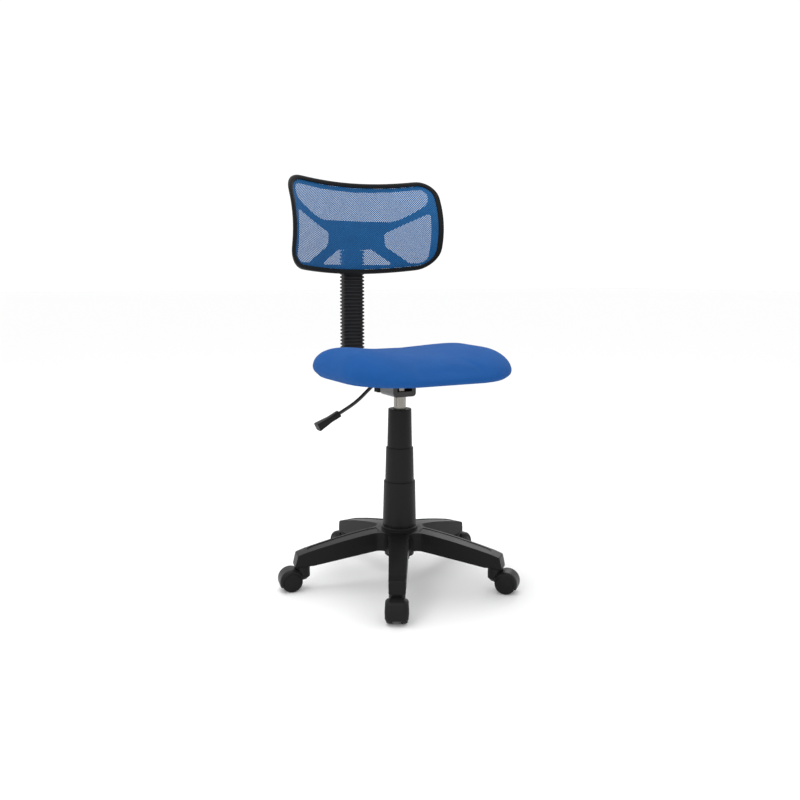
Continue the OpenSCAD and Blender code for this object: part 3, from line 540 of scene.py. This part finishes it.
def settle(obj, voxel=0.005, pressure=4.0, cap=0.004, held_rim=0.012, frames=20):
    remesh = obj.modifiers.new("even_squares", "REMESH")
    remesh.mode, remesh.voxel_size = "VOXEL", voxel
    apply_modifiers(obj)
    before = [v.co.copy() for v in obj.data.vertices]
    cloth = obj.modifiers.new("cover", "CLOTH")
    cloth.settings.use_pressure = True
    cloth.settings.uniform_pressure_force = pressure
    cloth.settings.effector_weights.gravity = 0
    cloth.settings.tension_stiffness = cloth.settings.compression_stiffness = 25
    cloth.settings.shear_stiffness = 12
    cloth.settings.bending_stiffness = 2
    for number in range(1, frames + 1):
        scene.frame_set(number)
    apply_modifiers(obj)
    scene.frame_set(1)
    for vertex, start in zip(obj.data.vertices, before):
        move = vertex.co - start
        allowed = cap * min(1.0, max(0.0, (start.z - pocket_z) / held_rim))
        if move.length > allowed:
            move *= allowed / move.length
        vertex.co = start + move
    return obj


settle(cushion)
relax = cushion.modifiers.new("relax", "SMOOTH")
relax.factor, relax.iterations = 0.5, 6
apply_modifiers(cushion)
round_pad = cushion.modifiers.new("subdivide", "SUBSURF")
round_pad.levels = round_pad.render_levels = 1
apply_modifiers(cushion)
smoothed(cushion)
print("settled:", len(cushion.data.vertices), "points,",
      [round(d, 3) for d in cushion.dimensions])

# %% [markdown]
# ### The seat's knit
# The cover is a blue polyester knit: tiny rows of loops about a millimetre apart, a soft
# fuzz that lightens it at grazing angles, and slow changes of tone where the nap lies
# differently. Two crossed sine waves make the loops, noise breaks their order, and the
# shader's own sheen gives the fuzz.

# %% Knitted cover
seat_knit, wire = clear_graph("seat_knit")
across, along, up = (place(wire).axis(k) for k in range(3))
loop_w, loop_l = 0.0016, 0.0021
jitter = noise(wire, 0.004, detail=3)
rows = (along + up * 0.8) * (math.tau / loop_l) + jitter * 2.0
courses = (across + up * 0.35) * (math.tau / loop_w) + jitter * 1.5
loops = rows.sine() * courses.sine() * 0.5 + 0.5
nap = noise(wire, 0.045, detail=3)
fuzz = noise(wire, 0.0011, detail=5)
tone = loops * 0.32 + nap * 0.38 + fuzz * 0.3
shader(seat_knit, {
    "Base Color": tone.between((0.0045, 0.052, 0.20), (0.014, 0.102, 0.35)),
    "Roughness": fuzz * 0.12 + 0.78,
    "Sheen Weight": 0.03,
    "Sheen Roughness": 0.4,
    "Sheen Tint": (0.25, 0.5, 1.0, 1),
    "Specular IOR Level": 0.12,
    "Normal": bumps(wire, loops * 0.7 + fuzz * 0.3, 0.00035),
})
cushion.data.materials.clear()
cushion.data.materials.append(seat_knit)
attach(cushion, "seat")
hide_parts("seat_cushion")
print("seat dressed in", seat_knit.name)

# %% [markdown]
# ## The stretched back mesh
# The back is a single sheet of knitted polyester mesh, stretched into the bead like a drum
# skin, so it has no wrinkles and takes the saddle shape of its frame. A solid panel with
# many holes would need millions of faces. One smooth sheet is enough, and the holes come
# from its material.

# %% Mesh sheet
half_w, half_h, back_mid_z, back_corner = 0.198, 0.1085, 0.8155, 0.046
back_y, lumbar, side_bow, waist_bow = 0.222, 0.017, 0.047, 0.028
edge_bow, bow_ref, bead_w = 0.013, 0.175, 0.0115


def waist(z):
    return 1 - ((z - back_mid_z) / half_h) ** 2


def mesh_y(x, z):
    return (back_y - lumbar * waist(z)
            - (side_bow + waist_bow * waist(z)) * (x / (half_w + 0.008)) ** 2)


def back_outline(inset, per_edge=26, per_corner=14):
    a, b, r = half_w - inset, half_h - inset, max(0.004, back_corner - inset)
    points = []
    corners = ((1, 1, 0), (-1, 1, 90), (-1, -1, 180), (1, -1, 270))
    for n, (cx, cy, start) in enumerate(corners):
        for k in range(per_corner):
            t = math.radians(start + 90 * k / per_corner)
            points.append((cx * (a - r) + r * math.cos(t), cy * (b - r) + r * math.sin(t)))
        nx, ny, following = corners[(n + 1) % 4]
        t = math.radians(start + 90)
        x0, y0 = cx * (a - r) + r * math.cos(t), cy * (b - r) + r * math.sin(t)
        x1, y1 = nx * (a - r) + r * math.cos(t), ny * (b - r) + r * math.sin(t)
        points += [(x0 + (x1 - x0) * k / per_edge, y0 + (y1 - y0) * k / per_edge)
                   for k in range(per_edge)]
    return [(x, back_mid_z + z + edge_bow * (x / bow_ref) ** 2) for x, z in points]


tucked_in, sheet_depth, ring_count = 0.0006, 0.0004, 18
edge = back_outline(bead_w - tucked_in)
shares = [k / ring_count for k in range(ring_count, 0, -1)]
mesh_sheet = lofted("back_mesh_sheet", [
    [(x * f, mesh_y(x * f, back_mid_z + (z - back_mid_z) * f) + sheet_depth,
      back_mid_z + (z - back_mid_z) * f) for x, z in edge] for f in shares], caps=(False, True))
smoothed(mesh_sheet)
width = sum(math.dist((x, mesh_y(x, back_mid_z)), (x + 0.001, mesh_y(x + 0.001, back_mid_z)))
            for x in [k / 1000 for k in range(-187, 187)])

# %% [markdown]
# ### The holes of the weave
# The knit has diamond holes in rows that run at 45 degrees, about three and a half
# millimetres apart, and a fifth of the sheet is hole. Adding two crossed cosines gives
# one hill for each hole, and where the hill is high the material turns clear. The threads
# between are rounded by a bump from the same hills, and their crests are painted lighter in
# the colour as a painted highlight along each thread.

# %% Mesh cloth
mesh_cloth, wire = clear_graph("back_mesh_cloth")
across, up = place(wire).axis(0), place(wire).axis(2)
hole_pitch = 0.0034
turns = math.tau / (hole_pitch * math.sqrt(2))
weft, warp = (across + up) * turns, (across - up) * turns
hills = weft.cosine() + warp.cosine()
thread_rise_and_highlight = hills * -0.25 + 0.5
pull = noise(wire, 0.03, detail=2)
shader(mesh_cloth, {
    # The thread crests are painted lighter here, a painted highlight along each thread; the pull
    # noise is the cloth's own tone.
    "Base Color": (thread_rise_and_highlight * 0.6 + pull * 0.4).between((0.003, 0.055, 0.17),
                                                      (0.012, 0.134, 0.36)),
    "Roughness": thread_rise_and_highlight * -0.1 + 0.62,
    "Alpha": 1 - hills.ramp(0.85, 1.15),
    "Sheen Weight": 0.03,
    "Sheen Tint": (0.3, 0.6, 1.0, 1),
    "Specular IOR Level": 0.2,
    "Normal": bumps(wire, thread_rise_and_highlight, 0.0004),
})
mesh_sheet.data.materials.append(mesh_cloth)
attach(mesh_sheet, "back")
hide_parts("back_mesh")
print("mesh dressed in", mesh_cloth.name)

# %% [markdown]
# ## Softer shapes for the bead and the spider
# The bead is a soft extruded profile with no corners at all, so it is subdivided. The
# spider is a thick moulding: its faces stay flat and only its rims are rounded.

# %% Soften the back's mouldings
def soften(part, levels):
    node = join_faces(part)
    smooth = node.modifiers.new("round_profile", "SUBSURF")
    smooth.levels = smooth.render_levels = levels
    return node


soften("back_frame", 2)
round_edges("back_spider", 0.0012, 2)
print("softened the bead and the spider")

# %% [markdown]
# ## The rubber sleeve
# A blow-moulded bellows hides the steel bar between the seat and the back, and folds up as
# the back is lowered. It is a rounded rectangular tube whose wall goes in and out once for
# each rib. A displaced cylinder would smear the ribs' crests, so each ring is placed by
# a short list of steps within one rib: root, flank, crest, flank.

# %% Bellows
sleeve_w, sleeve_d, sleeve_y = 0.058, 0.030, 0.247
sleeve_low, sleeve_high, rib_depth, ribs = 0.504, 0.765, 0.0032, 30
rib_steps = [(0.0, 1.0), (0.12, 0.9), (0.25, 0.3), (0.36, 0.03), (0.5, 0.0), (0.64, 0.03),
             (0.75, 0.3), (0.88, 0.9)]


def sleeve_ring(z, inset, corner=0.007, steps=7):
    a, b = sleeve_w / 2 - inset, sleeve_d / 2 - inset
    ring = []
    for cx, cy, start in ((1, 1, 0), (-1, 1, 90), (-1, -1, 180), (1, -1, 270)):
        for k in range(steps + 1):
            t = math.radians(start + 90 * k / steps)
            ring.append((cx * (a - corner) + corner * math.cos(t),
                         sleeve_y + cy * (b - corner) + corner * math.sin(t), z))
    return ring


pitch = (sleeve_high - sleeve_low) / ribs
outer = [sleeve_ring(sleeve_low + (n + phase) * pitch, rib_depth * share)
         for n in range(ribs) for phase, share in rib_steps]
outer.append(sleeve_ring(sleeve_high, rib_depth))
wall = 0.0015
lining = [sleeve_ring(z, rib_depth + wall, corner=0.0055) for z in (sleeve_high, sleeve_low)]
sleeve = lofted("bellows_sleeve", outer + lining, closed=True, caps=(False, False))

sleeve_rubber, wire = clear_graph("sleeve_rubber")
bloom = noise(wire, 0.02, detail=4)
skin = noise(wire, 0.0009, detail=2)
shader(sleeve_rubber, {
    "Base Color": (bloom * 0.6 + skin * 0.4).between(grey(0.005, (1, 0.98, 1.1)),
                                                     grey(0.011, (1, 0.98, 1.1))),
    "Roughness": bloom * 0.14 + skin * 0.08 + 0.4,
    "Specular IOR Level": 0.28,
    "Normal": bumps(wire, skin, 0.00005),
})
sleeve.data.materials.append(sleeve_rubber)
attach(sleeve, "bar")
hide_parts("bellows")
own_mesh(sleeve)
print("sleeve:", len(sleeve.data.vertices), "points in", ribs, "ribs")
